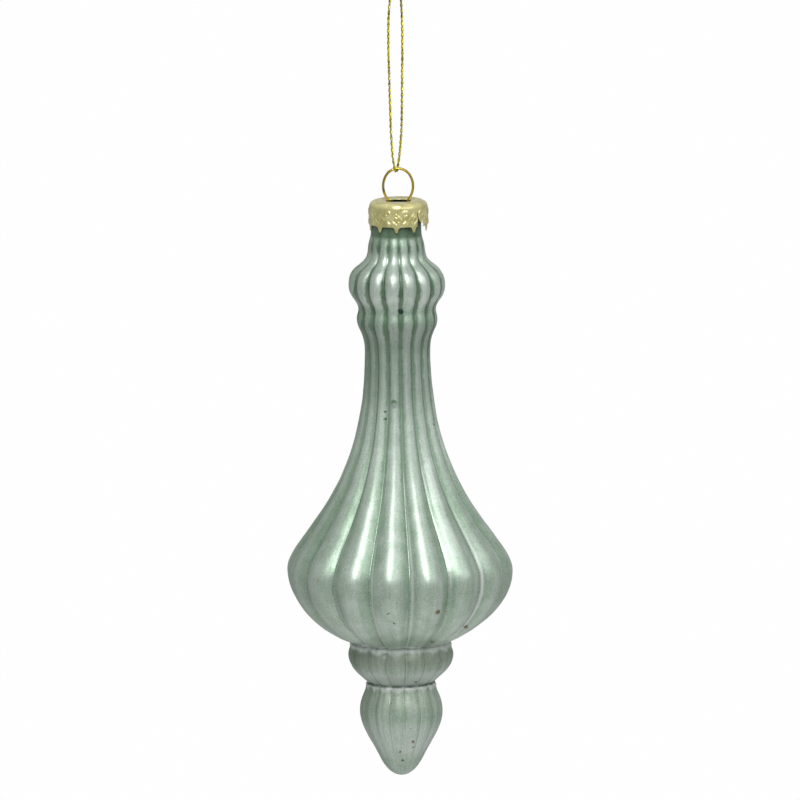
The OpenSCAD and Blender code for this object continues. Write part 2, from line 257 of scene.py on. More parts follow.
foot = Vector((
    -(bend_x - bend_radius * math.cos(splay[-1]) + leg_length * math.sin(splay[-1])), 0,
    ring_mid - ring_stand - bend_radius * math.sin(splay[-1]) - leg_length * math.cos(splay[-1]),
))
bpy.ops.object.select_all(action="DESELECT")
bpy.ops.mesh.primitive_circle_add(
    vertices=wire_sides, radius=wire_radius, location=foot, rotation=(0, splay[-1], 0))
wire = bpy.context.object
wire.name = wire.data.name = "hanger_wire_bent"
bpy.ops.object.transform_apply(location=True, rotation=True)
bpy.ops.object.mode_set(mode="EDIT")
bpy.ops.mesh.select_all(action="SELECT")
bpy.ops.mesh.edge_face_add()
bpy.ops.mesh.select_all(action="SELECT")
along = Vector((math.sin(splay[-1]), 0, math.cos(splay[-1])))
bpy.ops.mesh.extrude_region_move(TRANSFORM_OT_translate={"value": along * leg_length})
bend_wire((-bend_x, 0, ring_mid - ring_stand), -(splay[-1] + tuck), bend_rows)
bend_wire((side_gain, 0, ring_mid), tuck + shoulder, side_rows)
bend_wire((0, 0, ring_top - top_radius), math.pi - 2 * shoulder, top_rows)
bend_wire((-side_gain, 0, ring_mid), tuck + shoulder, side_rows)
bend_wire((bend_x, 0, ring_mid - ring_stand), -(splay[1] + tuck), bend_rows)
along = Vector((math.sin(splay[1]), 0, -math.cos(splay[1])))
bpy.ops.mesh.extrude_region_move(TRANSFORM_OT_translate={"value": along * leg_length})
weld(0.02 * mm)
bpy.ops.object.mode_set(mode="OBJECT")
bpy.ops.object.shade_smooth_by_angle(angle=math.radians(40))

gold_wire, tree, shader = new_finish("gold_wire", metallic=1.0)
draw_marks = speckle(tree, on_surface(tree), 700, detail=4)
wire_colour = two_colours(tree, draw_marks, (0.3, wire_shade), (0.6, wire_glint))
tree.links.new(wire_colour, shader.inputs["Base Color"])
tree.links.new(spread(tree, draw_marks, (0, 1), (0.22, 0.4)), shader.inputs["Roughness"])
wire.data.materials.append(gold_wire)
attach(wire, "hanger")
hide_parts("hanger_wire")

# Cap: a shallow cup stamped from thin gold-coloured sheet, embossed round its skirt and cut to ten points,
# with a slot for the wire in its top. The skirt is split once and springs open there, and a fold dents it.
cap_top = -57.09
cap_radius, cap_skirt, cap_edge, cap_sheet = 7.3, 5.8, 1.3, 0.2
row_height, row_count = 0.3, 16
edge_angles = (25, 50, 72, 90)
flat_radii = (5.1, 4.2)
point_count, point_columns, point_turn, point_half = 10, 20, -4, 7.3
point_steps = ((0.22, 0.72), (0.3, 0.74), (0.4, 0.86), (0.3, 0.7), (0.15, 0.5))
diamond_depth, diamond_half, hollow_half = 4.0, 1.6, 1.0
button_depth, button_radius = 3.7, 0.42
ring_depth, ring_steps = 2.5, ((0.85, 0.26), (0.55, -0.1), (0.25, -0.3))
foot_depth, foot_wide, foot_tall = 5.0, 0.9, 0.8
slot_steps = ((3.8, 3.1), (3.5, 2.6), (3.25, 2.3), (3.15, 2.15))
split_turn, split_top, split_slack = 41, 1.8, 0.5
spring_reach, spring_out, spring_turn = 45, 0.8, math.radians(2.2)
torn_start, torn_end, torn_depth, torn_slope = 0.5, 8.5, 4.4, 0.08
fold_turn, fold_half, fold_in = -57, 4, 0.8
back_rise = 0.06
slack = 0.1
dent_width, dent_height = 1.6 * mm, 0.16 * mm
# The brown for the hollows and the near black for the inside are painted shade
sheet_shade, sheet_light, hollow_shade_brown = (0.55, 0.5, 0.19), (0.82, 0.77, 0.37), (0.3, 0.26, 0.1, 1)
inside_shade_darkest, inside_shade_lightest = (0.006, 0.005, 0.003), (0.025, 0.02, 0.012)
skirt_rows = [(cap_radius, cap_skirt - row_height * step) for step in range(row_count)]
edge_rows = [(cap_radius - cap_edge * (1 - math.cos(a)), cap_edge * (1 - math.sin(a)))
             for a in map(math.radians, edge_angles)]
cap_rows = skirt_rows + edge_rows + [(radius, 0) for radius in flat_radii]


def select_points(piece, wanted):
    """Selects the points of a piece in edit mode that pass a test of their place."""
    bpy.ops.mesh.select_all(action="DESELECT")
    bm = bmesh.from_edit_mesh(piece.data)
    for v in bm.verts:
        v.select = wanted(v.co)
    bm.select_flush(True)


def turn_of(co):
    """Degrees round the axis from the front, to the right."""
    return math.degrees(math.atan2(co.x, -co.y))


def depth_of(co):
    """Millimetres below the top of the cap."""
    return cap_top - co.z / mm


def draw_out(rise, wide, deep, centre=(0, 0, 0)):
    """Extrudes what is selected along the axis, in millimetres, and scales its end across it."""
    bpy.ops.mesh.extrude_region_move(TRANSFORM_OT_translate={"value": (0, 0, rise * mm)})
    bpy.ops.transform.resize(value=(wide, deep, 1), center_override=centre)


def emboss(wanted, height):
    """Pushes the sheet out from the axis where the test of arc place and depth passes."""
    select_points(cap, lambda co: wanted(math.radians(turn_of(co)) * cap_radius, depth_of(co)))
    bm = bmesh.from_edit_mesh(cap.data)
    sunk = bm.verts.layers.float["sunk"]
    for v in bm.verts:
        if v.select:
            v[sunk] -= height
    grow = 1 + height / cap_radius
    bpy.ops.transform.resize(value=(grow, grow, 1), center_override=(0, 0, 0))


def lay_over(tree, share, under, over):
    """Lays one colour over another by a share."""
    layers = {"Factor": share, "A": under, "B": over}
    return add_node(tree, "ShaderNodeMix", layers, data_type="RGBA").outputs["Result"]


bpy.ops.object.select_all(action="DESELECT")
bpy.ops.mesh.primitive_circle_add(vertices=point_count * point_columns, radius=cap_radius * mm)
cap = bpy.context.object
cap.name = cap.data.name = "cap_stamped"
cap.data.attributes.new("sunk", "FLOAT", "POINT")
bpy.ops.object.mode_set(mode="EDIT")
half_pitch = 180 / point_count
select_points(cap, lambda co: abs(turn_of(co)) > half_pitch + slack)
bpy.ops.mesh.delete(type="VERT")
bpy.ops.mesh.select_all(action="SELECT")
bpy.ops.transform.translate(value=(0, 0, (cap_top - cap_skirt) * mm))
for (radius, depth), (next_radius, next_depth) in zip(cap_rows, cap_rows[1:]):
    draw_out(depth - next_depth, next_radius / radius, next_radius / radius)
select_points(cap, lambda co: depth_of(co) > cap_skirt - slack and abs(turn_of(co)) < point_half)
point_middle = Vector((0, -cap_radius, cap_top - cap_skirt)) * mm
for drop, narrow in point_steps:
    draw_out(-drop, narrow, narrow, point_middle)
half_arc = math.radians(half_pitch) * cap_radius
emboss(lambda arc, down: abs(arc) / diamond_half + abs(down - diamond_depth) / diamond_half < 1, height=0.2)
emboss(lambda arc, down: abs(arc) / hollow_half + abs(down - diamond_depth) / hollow_half < 1, height=-0.26)
emboss(lambda arc, down: math.hypot(arc, down - button_depth) < button_radius, height=0.36)
for ring_reach, height in ring_steps:
    emboss(lambda arc, down: math.hypot(abs(arc) - half_arc, down - ring_depth) < ring_reach, height)
emboss(lambda arc, down: (half_arc - abs(arc)) / foot_wide + abs(down - foot_depth) / foot_tall < 1,
       height=0.22)
bpy.ops.mesh.select_all(action="SELECT")
bpy.ops.mesh.spin(
    steps=point_count - 1, dupli=True, angle=math.radians(-2 * half_pitch * (point_count - 1)),
    center=(0, 0, 0), axis=(0, 0, 1))
bpy.ops.mesh.select_all(action="SELECT")
bpy.ops.mesh.remove_doubles(threshold=0.01 * mm)
bpy.ops.object.mode_set(mode="OBJECT")
cap.rotation_euler.z = math.radians(point_turn)
bpy.ops.object.transform_apply(rotation=True)
bpy.ops.object.mode_set(mode="EDIT")
wide = deep = flat_radii[-1]
select_points(cap, lambda co: co.xy.length < (flat_radii[-1] + slack) * mm)
for next_wide, next_deep in slot_steps:
    draw_out(0, next_wide / wide, next_deep / deep)
    wide, deep = next_wide, next_deep
bpy.ops.mesh.select_all(action="SELECT")
bpy.ops.mesh.normals_make_consistent(inside=False)

# The split opens along one row of edges, and the panel to its right springs out with a torn corner. The
# back of the top is bent up a little
select_points(cap, lambda co: abs(turn_of(co) - split_turn) < split_slack and depth_of(co) > split_top)
bpy.ops.mesh.edge_split(type="EDGE")
bm = bmesh.from_edit_mesh(cap.data)
for v in bm.verts:
    depth = depth_of(v.co)
    if depth < cap_edge:
        v.co.z += back_rise * max(0, v.co.y) * (1 - depth / cap_edge)
    if depth < split_top or not v.link_faces:
        continue
    share_low = (depth - split_top) / (cap_skirt - split_top)
    face_turns = [turn_of(f.calc_center_median()) for f in v.link_faces]
    past_split = sum(face_turns) / len(face_turns) - split_turn
    if 0 < past_split < spring_reach:
        sprung = share_low * (1 - past_split / spring_reach) ** 2
        grow = 1 + spring_out * sprung / cap_radius
        pushed = Vector((v.co.x * grow, v.co.y * grow, v.co.z))
        v.co = Matrix.Rotation(spring_turn * sprung, 3, "Z") @ pushed
    folded = max(0, 1 - abs(turn_of(v.co) - fold_turn) / fold_half)
    shrink = 1 - fold_in * folded * share_low / cap_radius
    v.co.x, v.co.y = v.co.x * shrink, v.co.y * shrink
bmesh.update_edit_mesh(cap.data)
select_points(cap, lambda co: split_turn + torn_start < turn_of(co) < split_turn + torn_end
              and depth_of(co) > torn_depth + torn_slope * (turn_of(co) - split_turn))
bpy.ops.mesh.delete(type="VERT")
bpy.ops.object.mode_set(mode="OBJECT")
dents = bpy.data.textures.new("dents", "CLOUDS")
dents.noise_scale = dent_width
add_modifier(cap, "DISPLACE", texture=dents, texture_coords="LOCAL", strength=dent_height)
# The inner face and the cut edges take the second material, which is painted shade
add_modifier(cap, "SOLIDIFY", thickness=cap_sheet * mm, offset=-1, material_offset=1, material_offset_rim=1)
add_modifier(cap, "SUBSURF", levels=1, render_levels=1)
apply_modifiers(cap)
bpy.ops.object.shade_smooth()

# Outside the sheet is gold and scuffed, with painted shade browning the embossed hollows, and less bright on
# top. Inside and at its cut edges it is painted near black as shade
gold_sheet, tree, shader = new_finish("gold_sheet", coat_weight=0.4, coat_roughness=0.18)
surface = on_surface(tree)
tarnish = speckle(tree, surface, 420, detail=5)
sheet_colour = two_colours(tree, tarnish, (0.32, sheet_shade), (0.62, sheet_light))
# Painted shade: the sunk hollows of the embossing are browned
sunk_here = add_node(tree, "ShaderNodeAttribute", attribute_name="sunk").outputs["Fac"]
hollow_shade = spread(tree, sunk_here, (-0.02, 0.12), (0, 0.6))
tree.links.new(lay_over(tree, hollow_shade, sheet_colour, hollow_shade_brown), shader.inputs["Base Color"])
height_here = add_node(tree, "ShaderNodeSeparateXYZ", {"Vector": surface}).outputs["Z"]
top_matt = spread(tree, height_here, ((cap_top - 1.3) * mm, (cap_top - 0.4) * mm), (0.5, 0.2))
tree.links.new(top_matt, shader.inputs["Metallic"])
scuffs = speckle(tree, surface, 2600, detail=3)
tree.links.new(spread(tree, scuffs, (0, 1), (0.16, 0.42)), shader.inputs["Roughness"])
grit = add_node(tree, "ShaderNodeBump", {"Height": scuffs, "Strength": 0.3, "Distance": 0.04 * mm})
tree.links.new(grit.outputs["Normal"], shader.inputs["Normal"])
cap.data.materials.append(gold_sheet)
# Painted shade: the inside and the cut edges of the sheet are near black
inside_shade_sheet, tree, shader = new_finish("inside_shade_sheet", metallic=0.5, roughness=0.6)
inside_shade_mottle = speckle(tree, on_surface(tree), 500)
tree.links.new(two_colours(tree, inside_shade_mottle, (0, inside_shade_darkest), (1, inside_shade_lightest)), shader.inputs["Base Color"])
cap.data.materials.append(inside_shade_sheet)
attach(cap, "cap")
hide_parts("cap")

# Glass body: blown in a fluted mould, silvered inside and sprayed a satin sage green that lies thin in
# the grooves. Its profile is drawn as a line, swept over one flute, grooved, and repeated round the axis.
glass_x, glass_length = -0.6, 144.8
flute_count = 16
flute_turn = 360 / flute_count
first_groove = 5.5
column_turns = (0, 0.5, 1.5, 4, 7.4, 11.25)
sharp_shares = (0.99, 0.933, 0.803, 0.494, 0.152)
flat_shares = (1, 0.99, 0.92, 0.5, 0.12)
wall = 1.0
neck_radius, rim_top, rim_depth, neck_middle, neck_foot = 6.25, 1.35, 1.5, 4.5, 7.8
# Each stage ends at a radius after a length, with a groove depth and how flat the groove's bottom is;
# then come the pull of the curve's two handles and the rows along it
stages = [
    (7.1, 3.9, 0.4, 1, (0, 0.31, 0, 0.4), 4),
    (12.15, 9.4, 1.0, 1, (0, 0.57, 0, 0.65), 9),
    (9.65, 6.1, 0.6, 1, (0, 0.52, 0, 0.39), 6),
    (10.1, 2.6, 0.65, 1, (0, 0.14, 0, 0.44), 4),
    (8.2, 8, 0.6, 1, (0, 0.33, 0, 0.7), 6),
    (28.45, 55, 2.95, 0, (0, 0.67, 0, 0.15), 26),
    (12.3, 18, 1.2, 0, (0, 0.45, 0.46, 0.15), 16),
    (12.85, 0.55, 0.6, 0, (0.6, 0.05, 0, 0.5), 3),
    (12.75, 0.65, 0.5, 0, (0, 0.45, 0, 0.45), 3),
    (13.25, 2.2, 0.5, 0, (0, 0.3, 0, 0.5), 4),
    (8.3, 6.9, 0.45, 0, (0, 0.48, 0.29, 0.24), 8),
    (8.85, 0.5, 0.4, 0, (0.6, 0.05, 0, 0.5), 3),
    (8.8, 0.55, 0.35, 0, (0, 0.45, 0, 0.45), 3),
    (10.4, 6.15, 0.3, 0, (0, 0.25, 0, 0.5), 6),
    (5.05, 12.6, 0.12, 0, (0, 0.37, 0.34, 0.32), 8),
    (0.0, 3.9, 0.0, 0, (0.24, 0.53, 0.47, 0), 5),
]
creased_depths, crease_slack, crease = (110.8, 121.1), 0.01, 0.8
row_slack = 0.001
wavy_from, wave_width, wave_height = 13, 7 * mm, 0.3 * mm
outer_rows = [(neck_radius, depth, 0, 1) for depth in (rim_depth, neck_middle, neck_foot)]
bore_radius = neck_radius - wall
inner_rows = [(neck_radius - wall * 0.5, rim_top), (bore_radius, rim_depth), (bore_radius, neck_foot)]
for end_radius, run, end_groove, end_flat, pull, steps in stages:
    radius, depth, groove, flat = outer_rows[-1]
    for step in range(1, steps + 1):
        t = step / steps
        near, far = 3 * (1 - t) ** 2 * t, 3 * (1 - t) * t * t
        outer_rows.append((
            radius + (end_radius - radius) * (near * pull[0] + far * (1 - pull[2]) + t ** 3),
            depth + run * (near * pull[1] + far * (1 - pull[3]) + t ** 3),
            groove + (end_groove - groove) * t,
            flat + (end_flat - flat) * math.sqrt(t),
        ))
        if step % 2 == 0 or step == steps:
            radius_here, depth_here, groove_here, _ = outer_rows[-1]
            if radius_here > wall + 1:
                inner_rows.append((radius_here - groove_here - wall, depth_here))

bpy.ops.object.select_all(action="DESELECT")
bpy.ops.mesh.primitive_plane_add(size=mm)
glass = bpy.context.object
glass.name = glass.data.name = "glass_body_fluted"
bpy.ops.object.mode_set(mode="EDIT")
bpy.ops.mesh.merge(type="CENTER")
pen = Vector((0, 0, 0))
for step, (radius, depth, _, _) in enumerate(reversed(outer_rows)):
    goal = Vector((0, -radius, cap_top - depth)) * mm
    if step:
        bpy.ops.mesh.extrude_region_move(TRANSFORM_OT_translate={"value": goal - pen})
    else:
        bpy.ops.transform.translate(value=goal - pen)
    pen = goal
bpy.ops.mesh.select_all(action="SELECT")
bpy.ops.transform.rotate(value=math.radians(flute_turn / 2), orient_axis="Z", center_override=(0, 0, 0))
column_places = [-turn for turn in reversed(column_turns)] + list(column_turns[1:])
for here, there in zip(column_places, column_places[1:]):
    bpy.ops.mesh.spin(steps=1, angle=math.radians(here - there), center=(0, 0, 0), axis=(0, 0, 1))
for radius, depth, groove, flat in outer_rows:
    if groove == 0:
        continue
    for column, sharp_share, flat_share in zip(column_turns, sharp_shares, flat_shares):
        select_points(glass, lambda co: abs(depth_of(co) - depth) < row_slack
                      and abs(abs(turn_of(co)) - column) < slack)
        shrink = 1 - groove * (sharp_share + (flat_share - sharp_share) * flat) / radius
        bpy.ops.transform.resize(value=(shrink, shrink, 1), center_override=(0, 0, 0))
bpy.ops.mesh.select_all(action="SELECT")
bpy.ops.mesh.spin(
    steps=flute_count - 1, dupli=True, angle=math.radians(flute_turn * (flute_count - 1)),
    center=(0, 0, 0), axis=(0, 0, 1))
weld(0.005 * mm)
select_points(glass, lambda co: min(abs(depth_of(co) - d) for d in creased_depths) < crease_slack)
bpy.ops.transform.edge_crease(value=crease)
select_points(glass, lambda co: depth_of(co) > wavy_from)
bpy.ops.object.vertex_group_assign_new()
below_neck = glass.vertex_groups.active.name
bpy.ops.object.mode_set(mode="OBJECT")
waves = bpy.data.textures.new("waves", "CLOUDS")
waves.noise_scale = wave_width
add_modifier(glass, "SUBSURF", levels=1, render_levels=1)
add_modifier(glass, "DISPLACE", texture=waves, texture_coords="LOCAL", vertex_group=below_neck,
             strength=wave_height)
apply_modifiers(glass)

# The bore and the hollow inside go down from the rim
bpy.ops.object.mode_set(mode="EDIT")
select_points(glass, lambda co: depth_of(co) < rim_depth + row_slack)
radius, depth = neck_radius, rim_depth
for next_radius, next_depth in inner_rows:
    draw_out(depth - next_depth, next_radius / radius, next_radius / radius)
    radius, depth = next_radius, next_depth
bpy.ops.mesh.merge(type="CENTER")
bpy.ops.object.mode_set(mode="OBJECT")
bpy.ops.object.shade_smooth()
glass.location.x = glass_x * mm
glass.rotation_euler.z = math.radians(first_groove)
bpy.ops.object.transform_apply(location=True, rotation=True)


def work_out(tree, operation, *values):
    """One step of arithmetic on values over the surface."""
    return add_node(tree, "ShaderNodeMath", dict(enumerate(values)), operation=operation).outputs[0]


satin_glass, tree, shader = new_finish("satin_glass", coat_roughness=0.36)
shader.inputs["Specular IOR Level"].default_value = 0.35
surface = on_surface(tree)
axes = add_node(tree, "ShaderNodeSeparateXYZ", {"Vector": surface}).outputs
off_axis = work_out(tree, "SUBTRACT", axes["X"], glass_x * mm)
to_front = work_out(tree, "MULTIPLY", axes["Y"], -1)
turn_here = work_out(tree, "ARCTAN2", off_axis, to_front)
flutes = work_out(tree, "MULTIPLY_ADD", turn_here, flute_count / math.tau, -first_groove / flute_turn)
from_groove = work_out(tree, "PINGPONG", flutes, 0.5)
share_down = spread(tree, axes["Z"], (cap_top * mm, (cap_top - glass_length) * mm), (0, 1))


def down_the_glass(stations, along=share_down):
    """A value that follows stations of depth below the cap's top, in millimetres."""
    curve = add_node(tree, "ShaderNodeFloatCurve", {"Value": along})
    points = curve.mapping.curves[0].points
    points[0].location = (0, stations[0][1])
    points[1].location = (1, stations[-1][1])
    for depth, value in stations[1:-1]:
        points.new(depth / glass_length, value)
    curve.mapping.update()
    return curve.outputs[0]


# The bare green shows on the neck, and in the grooves in bands whose width, as a share of a flute, changes
# down the glass. The left side is painted darker and greener as shade, with wider bands and bare green laid
# over it, and the notch above the drop is painted bare green as shade in places
band_width = down_the_glass([
    (0, 0.2), (9.5, 0.17), (11, 0.23), (13.6, 0.12), (16, 0.13), (19, 0.16), (22, 0.2), (27, 0.23),
    (32, 0.25), (44, 0.25), (60, 0.21), (72, 0.14), (82, 0.08), (95, 0.05), (109, 0.05), (130, 0.06),
    (144.8, 0.05),
])
band_depth = down_the_glass([
    (0, 0.8), (9.5, 0.4), (11, 0.9), (12.3, 0.75), (13.7, 0.15), (14.8, 0.4), (16, 0.8), (18, 0.95),
    (25, 0.88), (33, 0.72), (45, 0.52), (60, 0.42), (78, 0.42), (95, 0.46), (109, 0.6), (112, 0.3),
    (118, 0.5), (124, 0.3), (136, 0.25), (144.8, 0),
])
valley_clear = down_the_glass([(0, 1), (50, 1), (68, 0.35), (80, 0.1), (109, 0.1), (112, 0.6), (144.8, 1)])
# Painted shade in the notch above the drop
notch_shade_line = down_the_glass([
    (0, 0), (120.2, 0), (120.7, 0.6), (121.1, 0.9), (121.3, 0.4), (121.5, 0), (144.8, 0),
])
# Painted shade on the left side: how much bare green is laid there down the glass
left_shade_share = down_the_glass([
    (0, 0.3), (22, 0.3), (45, 0.28), (62, 0.3), (95, 0.25), (112, 0.3), (144.8, 0.2),
])
neck_bare_to, neck_coated_least, neck_coated_most = 8.2, 8.4, 10.2
wander = speckle(tree, surface, 420, detail=5, roughness=0.65)
wavy = spread(tree, wander, (0.3, 0.7), (0.5, 1.5))
across = work_out(tree, "SINE", turn_here)
# Painted shade: the bands widen towards the left side
left_shade_widening = spread(tree, across, (-0.97, -0.5), (1.6, 0.95))
band_there = work_out(tree, "MULTIPLY", band_width, left_shade_widening)
band_edge = work_out(tree, "MULTIPLY", band_there, wavy)
band_core = work_out(tree, "MULTIPLY", band_edge, 0.5)
band = spread(tree, from_groove, (band_core, band_edge), (band_depth, 0), smooth=True)
valley = spread(tree, from_groove, (0.006, 0.024), (valley_clear, 1))
grooved = work_out(tree, "MULTIPLY", band, valley)
neck_end = spread(tree, wander, (0, 1), (neck_coated_least / glass_length, neck_coated_most / glass_length))
bare_neck = spread(tree, share_down, (neck_bare_to / glass_length, neck_end), (0.95, 0), smooth=True)
left_painted_shade = spread(tree, across, (-0.98, -0.6), (left_shade_share, 0))
bared = work_out(tree, "MAXIMUM", grooved, bare_neck)
bared_and_left_shade = work_out(tree, "MAXIMUM", bared, left_painted_shade)
bared_and_shaded = work_out(tree, "MAXIMUM", bared_and_left_shade, notch_shade_line)
patches = speckle(tree, surface, 260, detail=4)
patchy = spread(tree, patches, (0.32, 0.6), (0.72, 1))
green_and_shade_patches = work_out(tree, "MULTIPLY", bared_and_shaded, patchy)
green_neck = work_out(tree, "MULTIPLY", bare_neck, 0.82)
green_and_shade = work_out(tree, "MAXIMUM", green_and_shade_patches, green_neck)

# The sprayed coat is silvery on the crowns and greener down the flanks, with faint streaks and a fine grain;
# the lighter crowns, the darker flanks and the silver share down the glass are partly the coat's tone and
# partly painted light and shade. It is greyer on the stem, and browned as painted shade on top of the collar
# and the drop
sage_coat, silver_coat = (0.245, 0.372, 0.255), (0.655, 0.738, 0.67)
stem_grey, collar_shade_brown, bare_and_shade_green = (0.31, 0.345, 0.325, 1), (0.34, 0.33, 0.27, 1), (0.058, 0.125, 0.06, 1)
# Partly the coat's tone, partly painted light and shade, set depth by depth
silver_and_light = down_the_glass([
    (0, 0.1), (11, 0.12), (14, 0.4), (20, 0.4), (23, 0.55), (26, 0.24), (30, 0.1), (33, 0.2), (37, 0.06),
    (46, 0.16), (56, 0.42), (66, 0.38), (76, 0.24), (86, 0.22), (93, 0.34), (97, 0.31), (103, 0.3),
    (109, 0.3), (112, 0.2), (114.8, 0.24), (117, 0.5), (119.5, 0.95), (123, 0.32), (128, 0.32), (134, 0.75),
    (141, 0.5), (144.8, 0.4),
])
crown_light_share = down_the_glass([
    (0, 0.25), (20, 0.34), (30, 0.2), (40, 0.14), (52, 0.2), (70, 0.28), (95, 0.28), (109, 0.24), (112, 0.1),
    (128, 0.1), (138, 0.04), (144.8, 0),
])
grey_share = down_the_glass([(0, 0), (26, 0), (33, 0.5), (44, 0.5), (54, 0.15), (66, 0), (144.8, 0)])
# Painted shade: brown on top of the collar and the drop, under the overhangs above them
brown_shade_share = down_the_glass([
    (0, 0), (111.5, 0), (113, 0.4), (115, 0.32), (119, 0.03), (122, 0.1), (125, 0.25), (130, 0), (144.8, 0),
])
along_flutes = add_node(tree, "ShaderNodeCombineXYZ", {"X": flutes, "Y": share_down}).outputs[0]
streaks = speckle(tree, along_flutes, 5, detail=4, roughness=0.6)
grain = speckle(tree, surface, 2400, detail=3)
# Painted light on the crowns and shade down the flanks, on top of the coat's own tone
crown_light = spread(tree, from_groove, (0.05, 0.38), (0, crown_light_share), smooth=True)
lustre_and_light = work_out(tree, "ADD", crown_light, silver_and_light)
streaky = spread(tree, streaks, (0, 1), (-0.55, 0.55))
blotchy = spread(tree, patches, (0, 1), (-0.4, 0.4))
grainy = spread(tree, grain, (0, 1), (-0.5, 0.5))
clouded = work_out(tree, "ADD", streaky, blotchy)
uneven = work_out(tree, "ADD", clouded, grainy)
mottle = work_out(tree, "ADD", lustre_and_light, uneven)
coat_colour = two_colours(tree, mottle, (0, sage_coat), (1, silver_coat))
coat_greyed = lay_over(tree, grey_share, coat_colour, stem_grey)
coat_shade_browned = lay_over(tree, brown_shade_share, coat_greyed, collar_shade_brown)
coat = lay_over(tree, green_and_shade, coat_shade_browned, bare_and_shade_green)

# A painted white highlight runs down the right of each groove, and the shoulders of the collar and the drop
# have ragged painted white highlights as rims. The notch above the drop is painted dark as shade in places
highlight_white, notch_shade_colour = (0.9, 0.93, 0.91, 1), (0.008, 0.03, 0.02, 1)
lip_middle, lip_half, lip_fade = 0.055, 0.012, 0.05
# Painted highlight down the right of each groove
lip_highlight_share = down_the_glass([
    (0, 0), (58, 0), (70, 0.3), (84, 0.5), (98, 0.7), (108, 0.95), (113, 0.15), (118, 0.45), (124, 0.12),
    (132, 0.4), (138, 0.3), (141, 0), (144.8, 0),
])
past_groove = work_out(tree, "FRACT", flutes)
from_lip = work_out(tree, "SUBTRACT", past_groove, lip_middle)
lip_way = work_out(tree, "ABSOLUTE", from_lip)
lip_highlight_there = spread(tree, streaks, (0.38, 0.6), (0.15, 1))
lip_highlight_strength = work_out(tree, "MULTIPLY", lip_highlight_share, lip_highlight_there)
lip_highlight = spread(tree, lip_way, (lip_half, lip_fade), (lip_highlight_strength, 0))
scallop = work_out(tree, "MULTIPLY_ADD", from_groove, -0.009, share_down)
rim_way = work_out(tree, "MULTIPLY_ADD", wander, 0.016, scallop)
# Painted highlight: ragged white rims on the shoulders of the collar and the drop
rim_highlight_line = down_the_glass([
    (0, 0), (110.8, 0), (111.3, 0.9), (112.8, 0.9), (113.3, 0), (121.7, 0), (122.1, 0.7), (122.8, 0.6),
    (123.2, 0), (144.8, 0),
], rim_way)
rim_highlight_there = spread(tree, streaks, (0.35, 0.6), (0.6, 1))
rim_highlight = work_out(tree, "MULTIPLY", rim_highlight_line, rim_highlight_there)
painted_highlights = work_out(tree, "MAXIMUM", lip_highlight, rim_highlight)
coat_highlighted = lay_over(tree, painted_highlights, coat, highlight_white)
# Painted shade: the notch above the drop is near black in places
notch_shade_there = spread(tree, wander, (0.42, 0.6), (0.1, 1))
notch_shade = work_out(tree, "MULTIPLY", notch_shade_line, notch_shade_there)
coat_marked = lay_over(tree, notch_shade, coat_highlighted, notch_shade_colour)

# Small blisters, bare spots and brown or red flecks lie on the front, and fine dark specks all over
ragged_width = 1.6 * mm
speck_dark = (0.05, 0.09, 0.06, 1)
torn_surface = add_node(tree, "ShaderNodeVectorMath",
                        {0: grain.node.outputs["Color"], 1: (ragged_width,) * 3, 2: surface},
                        operation="MULTIPLY_ADD").outputs["Vector"]


def mark(spot, spot_size, ragged):
    """A small blot, round or ragged, on the front of the glass at a place in millimetres."""
    aim = [c * mm + ragged_width / 2 * ragged for c in spot]
    apart = add_node(tree, "ShaderNodeVectorMath", {0: torn_surface if ragged else surface, 1: aim},
                     operation="SUBTRACT").outputs["Vector"]
    flattened = add_node(tree, "ShaderNodeVectorMath", {0: apart, 1: (1, 0.3, 1)},
                         operation="MULTIPLY").outputs["Vector"]
    way = add_node(tree, "ShaderNodeVectorMath", {0: flattened}, operation="LENGTH").outputs["Value"]
    return spread(tree, way, (spot_size * 0.6 * mm, spot_size * mm), (1, 0))


for colour, ragged, spots in (
    ((0.12, 0.215, 0.125, 1), False, [((-1.59, -8.74, -106.4), 0.9)]),
    ((0.29, 0.36, 0.305, 1), False, [((-1.55, -8.74, -107.15), 0.9)]),
    ((0.012, 0.045, 0.025, 1), False, [((0.39, -9.08, -83.6), 0.78), ((0.1, -9.08, -83.3), 0.6)]),
    ((0.012, 0.045, 0.025, 1), True, [
        ((-3.85, -8.25, -108.8), 0.35), ((-3.87, -8.55, -110.5), 0.42), ((3.12, -8.81, -176.82), 0.38),
        ((-0.33, -5.35, -197.2), 0.38), ((0.35, -8.6, -92.6), 0.32), ((-3.64, -26.11, -156.5), 0.3),
        ((-2.18, -24.37, -159.1), 0.3), ((8.2, -3.8, -112.6), 0.4)]),
    ((0.17, 0.1, 0.04, 1), True, [
        ((8.72, -24.31, -156.47), 0.75), ((15.68, -12.16, -162.46), 0.7), ((7.19, -13.28, -165.95), 0.5),
        ((2.21, -7.6, -192.23), 0.4), ((2.2, -6.72, -193.66), 0.35), ((-1.06, -6.67, -194.9), 0.4)]),
    ((0.5, 0.06, 0.05, 1), True, [((-20.89, -19.03, -149.27), 0.3)]),
):
    for spot, spot_size in spots:
        coat_marked = lay_over(tree, mark(spot, spot_size, ragged), coat_marked, colour)
specks = add_node(tree, "ShaderNodeTexVoronoi", {"Vector": surface, "Scale": 330}).outputs
speck_size = spread(tree, specks["Color"], (0.62, 0.9), (0, 0.075))
speck = work_out(tree, "LESS_THAN", specks["Distance"], speck_size)
tree.links.new(lay_over(tree, speck, coat_marked, speck_dark), shader.inputs["Base Color"])

